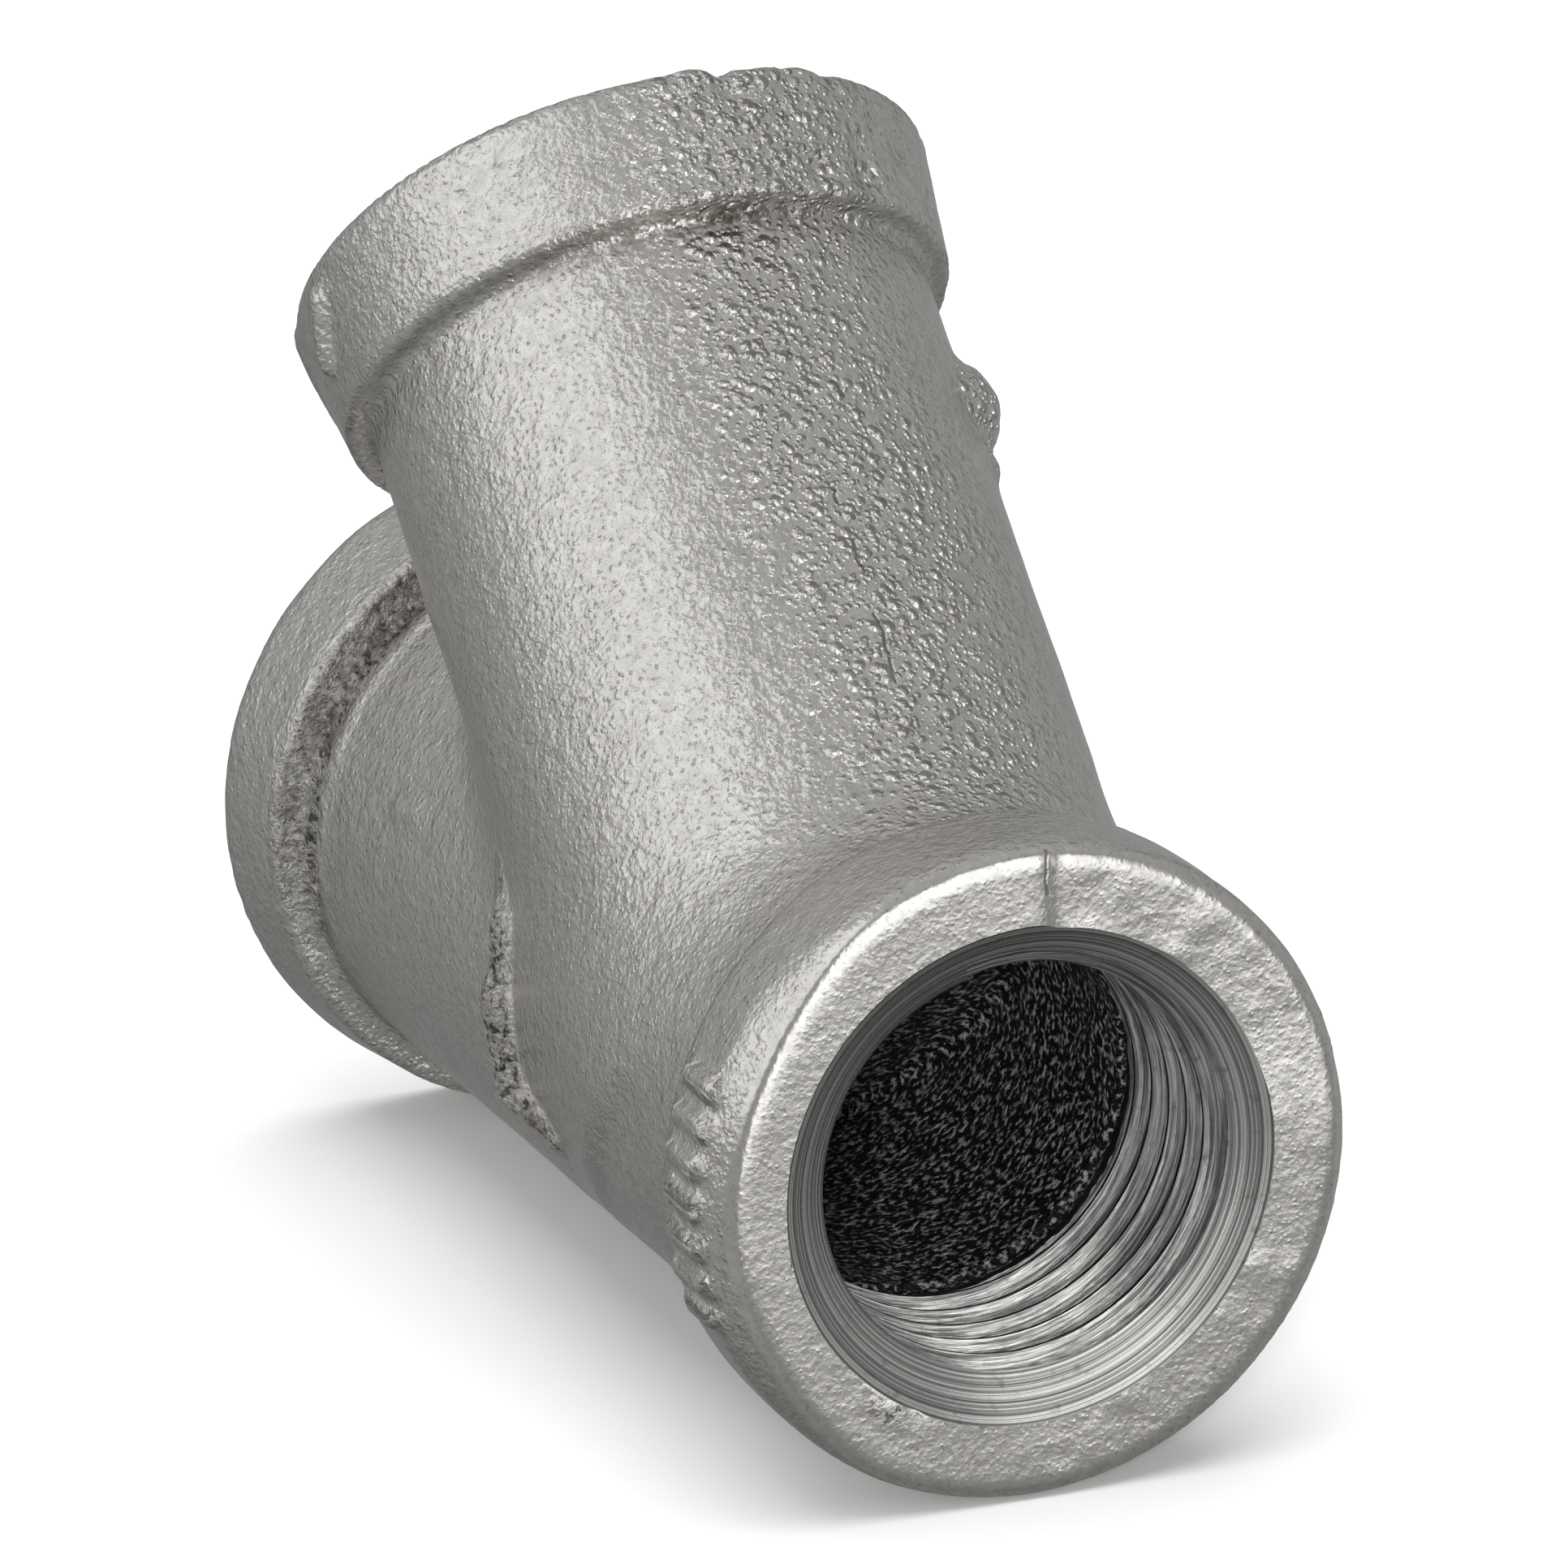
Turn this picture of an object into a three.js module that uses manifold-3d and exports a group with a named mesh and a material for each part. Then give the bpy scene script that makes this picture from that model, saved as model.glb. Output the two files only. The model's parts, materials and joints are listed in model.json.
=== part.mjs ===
// Y strainer, half-inch pipe size: a threaded, banded casting with a perforated screen in its leaning
// branch, and a flush retainer with a blow-off plug that close the branch.
// Millimetres, +Z up. The origin is where the axes of the run and the branch cross. The run lies along Y
// with its inlet towards -Y, and the branch leans from +Y towards +Z.

import * as THREE from 'three';
import { mergeVertices } from 'three/addons/utils/BufferGeometryUtils.js';
import Module from 'manifold-3d';

// Casting
const BRANCH_ANGLE = THREE.MathUtils.degToRad(42.7);
const RUN_R = 13.5;
const BRANCH_ROOT_R = 13.4;
const BRANCH_TOP_R = 13.2;
const CAVITY_R = 9.8;
const INLET_END = { reach: 17.5, width: 5.1, outerR: 15.45, innerR: 15.0, corner: 0.7, fillet: 1.4 };
const OUTLET_END = { reach: 43.0, width: 5.7, outerR: 15.5, innerR: 14.95, corner: 0.8, fillet: 1.0 };
const BRANCH_END = { reach: 43.3, width: 6.6, outerR: 15.2, innerR: 14.4, corner: 0.6, fillet: 1.0 };
const PADS = [
  { along: 29.2, around: 22, r: 2.6, proud: 1.5 },
  { along: 25.6, around: 22, r: 1.5, proud: 0.9 },
];

// Pipe sockets: the crests of a taper thread
const SOCKET_DEPTH = 12;
const SOCKET_MOUTH_R = 11.8;
const SOCKET_THREAD_START = 1.5;
const SOCKET_CREST_R = 9.45;
const SOCKET_CREST_END_R = 9.15;

// Partition across the body, square to the branch, with the seat for the screen
const PARTITION_UNDER = 5.5;
const PARTITION_OVER = 8;
const SEAT_FLOOR = 7;
const SEAT_R = 8.6;
const SEAT_HOLE_R = 6.4;

// Screen
const SCREEN_R = 7.4;
const SCREEN_WALL = 0.5;
const MESH_R = 6.8;
const MESH_WALL = 0.25;
const SCREEN_START = 7.8;
const SCREEN_END = 32.8;
const RING_LENGTH = 2.2;
const RING_LIP = 0.5;
const SEAT_RING_R = 8.3;
const TOP_RING_R = 7.85;
const SCREEN_ROWS = 7;
const SCREEN_COLUMNS = 12;
const SCREEN_HOLE_R = 0.75;
const SCREEN_HOLE_SIDES = 6;

// Retainer, its tapped hole in the branch and its gasket
const RETAINER_THREAD = { pitch: 25.4 / 14, crestR: 9.32, rootR: 10.48 };
const BRANCH_THREAD_START = 31.3;
const COUNTERBORE_FLOOR = 40.3;
const COUNTERBORE_R = 12.1;
const RETAINER_START = 31;
const RETAINER_FACE = 43.1;
const RETAINER_FLANGE = 1.9;
const RETAINER_FLANGE_R = 11.85;
const RETAINER_RECESS_R = 8.1;
const RETAINER_RECESS_END = 34.4;
const GASKET_R = 11.7;
const GASKET_HOLE_R = 10.75;
const SPANNER_HOLES = 4;
const SPANNER_HOLE_R = 0.95;
const SPANNER_CIRCLE_R = 9.8;
const SPANNER_DEPTH = 1.5;

// Blow-off plug, its tapped hole in the retainer and its seal
const PLUG_THREAD = { pitch: 25.4 / 19, crestR: 5.72, rootR: 6.58 };
const PLUG_START = 35.2;
const PLUG_SEAT = 40.9;
const PLUG_POCKET_R = 7.9;
const PLUG_FACE = 42.9;
const PLUG_FLANGE = 1.3;
const PLUG_FLANGE_R = 7.65;
const SEAL_R = 7.5;
const SEAL_HOLE_R = 6.85;
const HEX_SIDES = 6;
const HEX_FLAT = 6;
const HEX_DEPTH = 4.5;

// Shared allowances
const SIDES = 24;
const SHELL_SIDES = 48;
const PIN_SIDES = 16;
const THREAD_GAP = 0.14;
const THREAD_SINK = 0.4;
const THREAD_HALF = 0.42;
const FACE_GAP = 0.05;
const OVERCUT = 1;
const MERGE_DISTANCE = 1e-4;

const wasm = await Module();
wasm.setup();

// Solids

function signedVolume(position, index) {
  const [a, b, c] = [new THREE.Vector3(), new THREE.Vector3(), new THREE.Vector3()];
  let total = 0;
  for (let i = 0; i < index.length; i += 3) {
    a.fromBufferAttribute(position, index[i]);
    b.fromBufferAttribute(position, index[i + 1]);
    c.fromBufferAttribute(position, index[i + 2]);
    total += a.dot(b.cross(c));
  }
  return total;
}

// Turns a closed geometry into a solid, without zero-width triangles and with its faces outward.
function solid(geometry) {
  geometry.deleteAttribute('normal');
  geometry.deleteAttribute('uv');
  const merged = mergeVertices(geometry, MERGE_DISTANCE);
  const position = merged.attributes.position;
  const source = merged.index.array;
  const kept = [];
  for (let i = 0; i < source.length; i += 3) {
    const [a, b, c] = [source[i], source[i + 1], source[i + 2]];
    if (a !== b && b !== c && c !== a) kept.push(a, b, c);
  }
  if (signedVolume(position, kept) < 0) kept.reverse();
  const vertProperties = new Float32Array(position.array);
  const triVerts = new Uint32Array(kept);
  return new wasm.Manifold(new wasm.Mesh({ numProp: 3, vertProperties, triVerts }));
}

// A piece turned about Y: the profile holds [radius, height] points and closes on itself.
function turned(profile, sides = SIDES) {
  const points = profile.map(([r, y]) => new THREE.Vector2(r, y));
  points.push(points[0].clone());
  return solid(new THREE.LatheGeometry(points, sides));
}

function disc(radius, low, high, sides = SIDES) {
  return turned([[0, low], [radius, low], [radius, high], [0, high]], sides);
}

function ring(holeR, radius, low, high, sides = SIDES) {
  return turned([[holeR, low], [radius, low], [radius, high], [holeR, high]], sides);
}

// A short pin square to Y, from the axis outwards, at a height and an angle about Y.
function radialPin(radius, length, height, angle, sides) {
  const geometry = new THREE.CylinderGeometry(radius, radius, length, sides);
  geometry.rotateZ(Math.PI / 2);
  geometry.translate(length / 2, 0, 0);
  geometry.rotateY(angle);
  geometry.translate(0, height, 0);
  return solid(geometry);
}

// A V-shaped ridge wound round Y as a right-hand thread, which passes angle 0 at height 0, so that threads
// of one pitch on one axis are in mesh. Its section is extruded along the turns, and each point is then
// carried to its place on the helix.
function threadRidge({ pitch, crestR, rootR }, low, high) {
  const first = Math.round((low / pitch) * SIDES);
  const steps = Math.round((high / pitch) * SIDES) - first;
  const section = new THREE.Shape([
    new THREE.Vector2(crestR - THREAD_SINK, -THREAD_HALF * pitch),
    new THREE.Vector2(rootR, 0),
    new THREE.Vector2(crestR - THREAD_SINK, THREAD_HALF * pitch),
  ]);
  const geometry = new THREE.ExtrudeGeometry(section, { depth: steps, steps, bevelEnabled: false });
  const place = geometry.attributes.position;
  for (let i = 0; i < place.count; i++) {
    const turn = (first + place.getZ(i)) / SIDES;
    const angle = turn * 2 * Math.PI;
    const radius = place.getX(i);
    place.setXYZ(i, radius * Math.sin(angle), turn * pitch + place.getY(i), radius * Math.cos(angle));
  }
  return solid(geometry);
}

// The same thread as the space it needs (grow > 0) or as the metal that fits in it (grow < 0).
function resized(thread, grow) {
  return { pitch: thread.pitch, crestR: thread.crestR + grow, rootR: thread.rootR + grow };
}

function mesh(name, piece, material) {
  const { numProp, vertProperties, triVerts } = piece.getMesh();
  const position = new Float32Array((vertProperties.length / numProp) * 3);
  for (let i = 0; i < position.length / 3; i++) {
    for (let k = 0; k < 3; k++) position[3 * i + k] = vertProperties[numProp * i + k];
  }
  const geometry = new THREE.BufferGeometry();
  geometry.setAttribute('position', new THREE.BufferAttribute(position, 3));
  geometry.setIndex(new THREE.BufferAttribute(new Uint32Array(triVerts), 1));
  geometry.computeVertexNormals();
  const object = new THREE.Mesh(geometry, material);
  object.name = name;
  return object;
}

// Materials

const castMaterial = new THREE.MeshStandardMaterial({ color: 0xa8a49f, roughness: 0.45, metalness: 0.9 });
const steelMaterial = new THREE.MeshStandardMaterial({ color: 0xb9bbbd, roughness: 0.3, metalness: 1 });
const brassMaterial = new THREE.MeshStandardMaterial({ color: 0xb8964f, roughness: 0.35, metalness: 1 });
const platedMaterial = new THREE.MeshStandardMaterial({ color: 0xb4b0a8, roughness: 0.4, metalness: 0.95 });
const sealMaterial = new THREE.MeshStandardMaterial({ color: 0x2b2b2b, roughness: 0.8, metalness: 0 });
const gasketMaterial = new THREE.MeshStandardMaterial({ color: 0x7d3a2c, roughness: 0.85, metalness: 0 });

// Body

// The end band's outline beyond its fillet, from the barrel out to the end face. direction is -1 towards
// lower heights and 1 towards higher ones.
function bandOutline(end, barrelR, direction) {
  const path = new THREE.Path();
  const inner = direction * (end.reach - end.width);
  const face = direction * end.reach;
  const filletY = inner - direction * end.fillet;
  const cornerY = face - direction * end.corner;
  path.moveTo(barrelR, filletY);
  path.absarc(barrelR + end.fillet, filletY, end.fillet, Math.PI, direction * Math.PI / 2, direction > 0);
  path.lineTo(end.innerR, inner);
  path.lineTo(end.outerR, cornerY);
  path.absarc(end.outerR - end.corner, cornerY, end.corner, 0, direction * Math.PI / 2, direction < 0);
  path.lineTo(0, face);
  return path.getPoints(1).map((point) => [point.x, point.y]);
}

// A pipe socket at its taper thread's crests, with its countersunk mouth.
function socketTool(end) {
  const bottom = end.reach - SOCKET_DEPTH;
  return turned([
    [0, bottom],
    [SOCKET_CREST_END_R, bottom],
    [SOCKET_CREST_R, end.reach - SOCKET_THREAD_START],
    [SOCKET_MOUTH_R, end.reach],
    [SOCKET_MOUTH_R, end.reach + OVERCUT],
    [0, end.reach + OVERCUT],
  ], SHELL_SIDES);
}

function retainerHoleTool() {
  const bore = disc(RETAINER_THREAD.crestR, BRANCH_THREAD_START - OVERCUT, BRANCH_END.reach + OVERCUT);
  const counterbore = disc(COUNTERBORE_R, COUNTERBORE_FLOOR, BRANCH_END.reach + OVERCUT);
  const grooves = threadRidge(RETAINER_THREAD, BRANCH_THREAD_START - RETAINER_THREAD.pitch,
    COUNTERBORE_FLOOR + RETAINER_THREAD.pitch);
  return bore.add(counterbore).add(grooves);
}

// The run's own length in +Y, and the branch's, leaned up from it.
const alongBranch = (piece) => piece.rotate([THREE.MathUtils.radToDeg(BRANCH_ANGLE), 0, 0]);
const towardsInlet = (piece) => piece.rotate([0, 0, 180]);

function body() {
  const inlet = bandOutline(INLET_END, RUN_R, -1).reverse();
  const outlet = bandOutline(OUTLET_END, RUN_R, 1);
  const branch = bandOutline(BRANCH_END, BRANCH_TOP_R, 1);
  const pads = PADS.map(({ along, around, r, proud }) =>
    radialPin(r, BRANCH_TOP_R + proud, along, THREE.MathUtils.degToRad(-around), PIN_SIDES));
  const branchShell = pads.reduce((shell, pad) => shell.add(pad),
    turned([[0, 0], [BRANCH_ROOT_R, 0], ...branch], SHELL_SIDES));
  const shell = turned([...inlet, ...outlet], SHELL_SIDES).add(alongBranch(branchShell));

  const runLow = SOCKET_DEPTH - INLET_END.reach;
  const runCavity = disc(CAVITY_R, runLow, OUTLET_END.reach - SOCKET_DEPTH, SHELL_SIDES);
  const branchCavity = disc(CAVITY_R, 0, BRANCH_THREAD_START, SHELL_SIDES);
  const seat = disc(SEAT_HOLE_R, PARTITION_UNDER - OVERCUT, PARTITION_OVER + OVERCUT)
    .add(disc(SEAT_R, SEAT_FLOOR, PARTITION_OVER + OVERCUT));
  const partition = disc(2 * RUN_R, PARTITION_UNDER, PARTITION_OVER).subtract(seat);
  const cavity = runCavity.add(alongBranch(branchCavity)).subtract(alongBranch(partition));

  return shell
    .subtract(cavity)
    .subtract(towardsInlet(socketTool(INLET_END)))
    .subtract(socketTool(OUTLET_END))
    .subtract(alongBranch(retainerHoleTool()));
}

// Screen

function screenTube() {
  const low = SCREEN_START;
  const high = SCREEN_END;
  const clearLow = low + RING_LENGTH;
  const clearHigh = high - RING_LENGTH;
  let tube = ring(SCREEN_R - SCREEN_WALL, SCREEN_R, low, high);
  for (let row = 0; row < SCREEN_ROWS; row++) {
    const height = clearLow + ((row + 0.5) * (clearHigh - clearLow)) / SCREEN_ROWS;
    for (let column = 0; column < SCREEN_COLUMNS; column++) {
      const angle = ((column + 0.25 + (row % 2) / 2) * 2 * Math.PI) / SCREEN_COLUMNS;
      tube = tube.subtract(radialPin(SCREEN_HOLE_R, SCREEN_R + OVERCUT, height, angle, SCREEN_HOLE_SIDES));
    }
  }
  return tube;
}

function screenMesh() {
  return ring(MESH_R - MESH_WALL, MESH_R, SCREEN_START, SCREEN_END);
}

// A ferrule wraps the tube's end with a lip that turns in over it.
function ferrule(radius, end, direction) {
  const skirt = end + direction * RING_LENGTH;
  const lip = end - direction * RING_LIP;
  return turned([
    [SCREEN_R + FACE_GAP, skirt],
    [radius, skirt],
    [radius, lip],
    [MESH_R - MESH_WALL, lip],
    [MESH_R - MESH_WALL, end - direction * FACE_GAP],
    [SCREEN_R + FACE_GAP, end - direction * FACE_GAP],
  ]);
}

// Retainer and blow-off plug

function maleThread(thread, low, high, full) {
  const fitted = resized(thread, -THREAD_GAP);
  const core = disc(fitted.crestR, low, high);
  const ridge = threadRidge(fitted, low - fitted.pitch, high + fitted.pitch);
  return core.add(ridge.intersect(disc(full, low, high)));
}

function retainer() {
  const flangeLow = RETAINER_FACE - RETAINER_FLANGE;
  const shank = maleThread(RETAINER_THREAD, RETAINER_START, COUNTERBORE_FLOOR, RETAINER_FLANGE_R);
  const neckR = RETAINER_THREAD.crestR - THREAD_GAP;
  const neck = disc(neckR, COUNTERBORE_FLOOR - FACE_GAP, flangeLow + FACE_GAP);
  const flange = disc(RETAINER_FLANGE_R, flangeLow, RETAINER_FACE);
  const recess = disc(RETAINER_RECESS_R, RETAINER_START - OVERCUT, RETAINER_RECESS_END);
  const pocket = disc(PLUG_POCKET_R, PLUG_SEAT, RETAINER_FACE + OVERCUT);
  const tapped = disc(PLUG_THREAD.crestR, RETAINER_RECESS_END - OVERCUT, PLUG_SEAT + OVERCUT)
    .add(threadRidge(PLUG_THREAD, RETAINER_RECESS_END - PLUG_THREAD.pitch, PLUG_SEAT + PLUG_THREAD.pitch));
  let piece = shank.add(neck).add(flange).subtract(recess).subtract(pocket).subtract(tapped);
  for (let i = 0; i < SPANNER_HOLES; i++) {
    const hole = disc(SPANNER_HOLE_R, RETAINER_FACE - SPANNER_DEPTH, RETAINER_FACE + OVERCUT, PIN_SIDES);
    const turn = (i * 360) / SPANNER_HOLES;
    piece = piece.subtract(hole.translate([SPANNER_CIRCLE_R, 0, 0]).rotate([0, turn, 0]));
  }
  return piece;
}

function blowOffPlug() {
  const flangeLow = PLUG_FACE - PLUG_FLANGE;
  const shank = maleThread(PLUG_THREAD, PLUG_START, PLUG_SEAT, PLUG_FLANGE_R);
  const neck = disc(PLUG_THREAD.crestR - THREAD_GAP, PLUG_SEAT - FACE_GAP, flangeLow + FACE_GAP);
  const flange = disc(PLUG_FLANGE_R, flangeLow, PLUG_FACE);
  const hexR = HEX_FLAT / Math.sqrt(3);
  const socket = disc(hexR, PLUG_FACE - HEX_DEPTH, PLUG_FACE + OVERCUT, HEX_SIDES);
  return shank.add(neck).add(flange).subtract(socket);
}

// Assembly

const strainer = new THREE.Group();
const branch = new THREE.Group();
branch.rotation.x = BRANCH_ANGLE;
strainer.add(branch);

strainer.add(mesh('body', body(), castMaterial));
branch.add(
  mesh('screen_tube', screenTube(), steelMaterial),
  mesh('screen_mesh', screenMesh(), steelMaterial),
  mesh('screen_seat_ring', ferrule(SEAT_RING_R, SCREEN_START, 1), steelMaterial),
  mesh('screen_top_ring', ferrule(TOP_RING_R, SCREEN_END, -1), steelMaterial),
  mesh('retainer', retainer(), platedMaterial),
  mesh('retainer_gasket', ring(GASKET_HOLE_R, GASKET_R, COUNTERBORE_FLOOR + FACE_GAP,
    RETAINER_FACE - RETAINER_FLANGE - FACE_GAP), gasketMaterial),
  mesh('blow_off_plug', blowOffPlug(), brassMaterial),
  mesh('blow_off_seal', ring(SEAL_HOLE_R, SEAL_R, PLUG_SEAT + FACE_GAP,
    PLUG_FACE - PLUG_FLANGE - FACE_GAP), sealMaterial),
);

export default strainer;
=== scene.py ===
"""Y strainer, half-inch pipe size: the looks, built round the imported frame.

Lengths in this script are millimetres unless a name says otherwise, and each mesh is scaled to metres as it
is made. The origin is where the run's and the branch's axes cross; the run lies along Y with its inlet
towards -Y, and the branch leans from +Y towards +Z. A piece on the branch is made along Y, like one on the
run, and is then leaned with lean().
"""

import json
import math

import bpy
import numpy as np
from mathutils import Matrix, Vector


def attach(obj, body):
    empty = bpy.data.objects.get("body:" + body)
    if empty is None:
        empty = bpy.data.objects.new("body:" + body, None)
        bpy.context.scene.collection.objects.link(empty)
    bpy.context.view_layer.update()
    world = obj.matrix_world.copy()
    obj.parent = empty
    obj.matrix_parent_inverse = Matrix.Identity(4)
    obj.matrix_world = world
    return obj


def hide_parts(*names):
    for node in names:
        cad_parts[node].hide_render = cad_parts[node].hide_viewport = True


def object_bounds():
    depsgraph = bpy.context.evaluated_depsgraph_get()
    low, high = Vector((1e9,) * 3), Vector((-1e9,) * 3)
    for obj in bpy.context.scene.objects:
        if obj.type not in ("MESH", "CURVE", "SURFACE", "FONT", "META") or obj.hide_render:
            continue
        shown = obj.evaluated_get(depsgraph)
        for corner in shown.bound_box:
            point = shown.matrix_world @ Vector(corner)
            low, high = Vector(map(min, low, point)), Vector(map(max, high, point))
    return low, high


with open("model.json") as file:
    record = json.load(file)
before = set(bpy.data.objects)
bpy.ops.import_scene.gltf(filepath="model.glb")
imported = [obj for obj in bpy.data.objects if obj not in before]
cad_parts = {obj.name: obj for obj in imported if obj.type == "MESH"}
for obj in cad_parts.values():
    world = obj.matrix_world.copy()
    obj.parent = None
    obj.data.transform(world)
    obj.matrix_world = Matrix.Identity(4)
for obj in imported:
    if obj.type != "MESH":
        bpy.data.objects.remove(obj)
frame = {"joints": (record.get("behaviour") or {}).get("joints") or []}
cad_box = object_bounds()

MM = 0.001
TAU = 2 * math.pi
JOINTS = {joint["name"]: joint for joint in frame["joints"]}
BRANCH_DIRECTION = np.array(JOINTS["retainer_turn"]["axis"])
BRANCH_ANGLE = math.atan2(BRANCH_DIRECTION[2], BRANCH_DIRECTION[1])

# Casting, as in the CAD
RUN_R = 13.5
BRANCH_ROOT_R = 13.4
BRANCH_TOP_R = 13.2
CAVITY_R = 9.8
INLET_REACH = -cad_box[0].y / MM
OUTLET_REACH = cad_box[1].y / MM
BRANCH_REACH = 43.3
BODY_SPAN_R = cad_box[1].x / MM
SOCKET_DEPTH = 12.0
SOCKET_THREAD_START = 1.5
SOCKET_MOUTH_R = 11.8
SOCKET_CREST_R = 9.45
SOCKET_END_R = 9.15
COUNTERSINK_SLOPE = (SOCKET_MOUTH_R - SOCKET_CREST_R) / SOCKET_THREAD_START
PARTITION_UNDER = 5.5
PARTITION_OVER = 8.0
SEAT_FLOOR = 7.0
SEAT_R = 8.6
SEAT_HOLE_R = 6.4

# Screw threads: pitch, crest and root radii of the hole, and the male thread's clearance
PIPE_PITCH = 25.4 / 14
RETAINER_THREAD = {"pitch": PIPE_PITCH, "crest": 9.32, "root": 10.48}
PLUG_THREAD = {"pitch": 25.4 / 19, "crest": 5.72, "root": 6.58}
THREAD_GAP = 0.14

# The studio round the lamps: an even level, and patches (direction, full to so many degrees, gone at so
# many degrees, added strength)
WORLD_LEVEL = 0.35
WORLD_PATCHES = [
    ((0, 0.1, 1), 10, 60, 0.14),
    ((0.3, -0.9, -0.5), 10, 50, -0.08),
    ((0.95, -0.1, 0.3), 10, 60, 0.03),
    ((-0.2, 0.85, -0.45), 10, 50, -0.10),
    ((0.1, 0.1, -1), 20, 60, -0.12),
    ((-0.5, 0.8, 0.4), 10, 60, 0.08),
]

# Casting mesh and its texture
CELL = 0.43
SEAM_X = 0.9
FACE_RELIEF = 0.165
FACE_EDGE = 0.8
INLET_FACE_R = 15.15
BEVEL_SLOPE = 0.5


# ---------------------------------------------------------------- mesh helpers

def new_object(name, points, faces, smooth_angle=math.radians(35)):
    """A mesh object from points in millimetres."""
    mesh = bpy.data.meshes.new(name)
    mesh.from_pydata((np.asarray(points, float) * MM).tolist(), [], [list(map(int, f)) for f in faces])
    mesh.validate()
    mesh.update()
    mesh.shade_smooth()
    if smooth_angle:
        mesh.set_sharp_from_angle(angle=smooth_angle)
    obj = bpy.data.objects.new(name, mesh)
    bpy.context.scene.collection.objects.link(obj)
    return obj


def turned(name, profile, sides=96, **options):
    """A piece turned about Y from [radius, height] points, which close on themselves."""
    points = []
    rings = []
    for radius, height in profile:
        if radius < 1e-6:
            rings.append([len(points)] * sides)
            points.append((0, height, 0))
            continue
        rings.append(list(range(len(points), len(points) + sides)))
        angles = np.arange(sides) * TAU / sides
        points += [(radius * math.sin(a), height, radius * math.cos(a)) for a in angles]
    faces = []
    for low, high in zip(rings, rings[1:] + rings[:1]):
        for i in range(sides):
            j = (i + 1) % sides
            corners = dict.fromkeys((low[i], low[j], high[j], high[i]))
            if len(corners) > 2:
                faces.append(list(corners))
    obj = new_object(name, points, faces, **options)
    return facing_out(obj)


def facing_out(obj):
    """Turns a closed mesh's faces over if they point inward."""
    mesh = obj.data
    mesh.calc_loop_triangles()
    points = np.array([v.co for v in mesh.vertices])
    triangles = np.array([t.vertices for t in mesh.loop_triangles])
    a, b, c = (points[triangles[:, k]] for k in range(3))
    if np.einsum("ij,ij->i", a, np.cross(b, c)).sum() < 0:
        mesh.flip_normals()
    return obj


def lean(obj, matrix=None):
    """Carries a piece made along Y to the branch."""
    obj.data.transform(matrix or Matrix.Rotation(BRANCH_ANGLE, 4, "X"))
    return obj


def combine(obj, operation, *others):
    """Joins or cuts obj with the other objects, and removes them."""
    for other in others:
        modifier = obj.modifiers.new("combine", "BOOLEAN")
        modifier.operation = operation
        modifier.solver = "MANIFOLD"
        modifier.object = other
    depsgraph = bpy.context.evaluated_depsgraph_get()
    mesh = bpy.data.meshes.new_from_object(obj.evaluated_get(depsgraph))
    obj.modifiers.clear()
    old = obj.data
    obj.data = mesh
    mesh.name = obj.name
    bpy.data.meshes.remove(old)
    for other in others:
        bpy.data.objects.remove(other)
    return obj


def thread_ridge(thread, low, high, grow=0.0, taper=0.0, sides=64, half=0.36, flat=0.06):
    """A right-hand V ridge wound round Y, in step with every other thread of its pitch on this axis. low
    and high are the heights between which it runs, and taper is the radius gained per unit of height."""
    pitch = thread["pitch"]
    crest = thread["crest"] + grow
    root = thread["root"] + grow
    sink = 0.35
    slope = (half - flat) * pitch / (root - crest)
    section = [
        (crest - sink, -(flat * pitch + slope * (root - crest + sink))),
        (root, -flat * pitch),
        (root, flat * pitch),
        (crest - sink, flat * pitch + slope * (root - crest + sink)),
    ]
    first = round(low / pitch * sides)
    last = round(high / pitch * sides)
    points = []
    for step in range(first, last + 1):
        angle = TAU * step / sides
        for radius, rise in section:
            height = pitch * step / sides + rise
            r = radius + taper * (height - low)
            points.append((r * math.sin(angle), height, r * math.cos(angle)))
    count = len(section)
    faces = [list(range(count))]
    for step in range(last - first):
        for k in range(count):
            a = step * count + k
            b = step * count + (k + 1) % count
            faces.append([a, a + count, b + count, b])
    faces.append([(last - first) * count + k for k in reversed(range(count))])
    return facing_out(new_object("ridge", points, faces))


# ---------------------------------------------------------------- noise and distance fields

def hashed(cells, seed):
    """A repeatable pseudo-random number from 0 to 1 for each integer cell."""
    x, y, z = (cells[..., k].astype(np.int64) for k in range(3))
    mixed = (x * 73856093) ^ (y * 19349663) ^ (z * 83492791) ^ (seed * 2654435761)
    mixed = (mixed ^ (mixed >> 13)) * 1274126177 & 0x7FFFFFFF
    mixed = (mixed ^ (mixed >> 15)) * 2246822519 & 0x7FFFFFFF
    return ((mixed ^ (mixed >> 12)) & 0xFFFFF) / 0xFFFFF


def noise(points, size, seed):
    """Smooth value noise from -1 to 1 with lumps of the given size."""
    scaled = np.asarray(points) / size
    base = np.floor(scaled).astype(np.int64)
    part = scaled - base
    part = part * part * part * (part * (part * 6 - 15) + 10)
    total = 0
    for corner in np.ndindex(2, 2, 2):
        weight = np.prod(np.where(corner, part, 1 - part), axis=-1)
        total = total + weight * hashed(base + np.array(corner), seed)
    return 2 * total - 1


def lumps(points, size, seed, octaves=3):
    """Layered noise, each layer half the size and height of the last."""
    total = 0
    for octave in range(octaves):
        total = total + noise(points, size / 2**octave, seed + octave) / 2**octave
    return total


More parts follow.
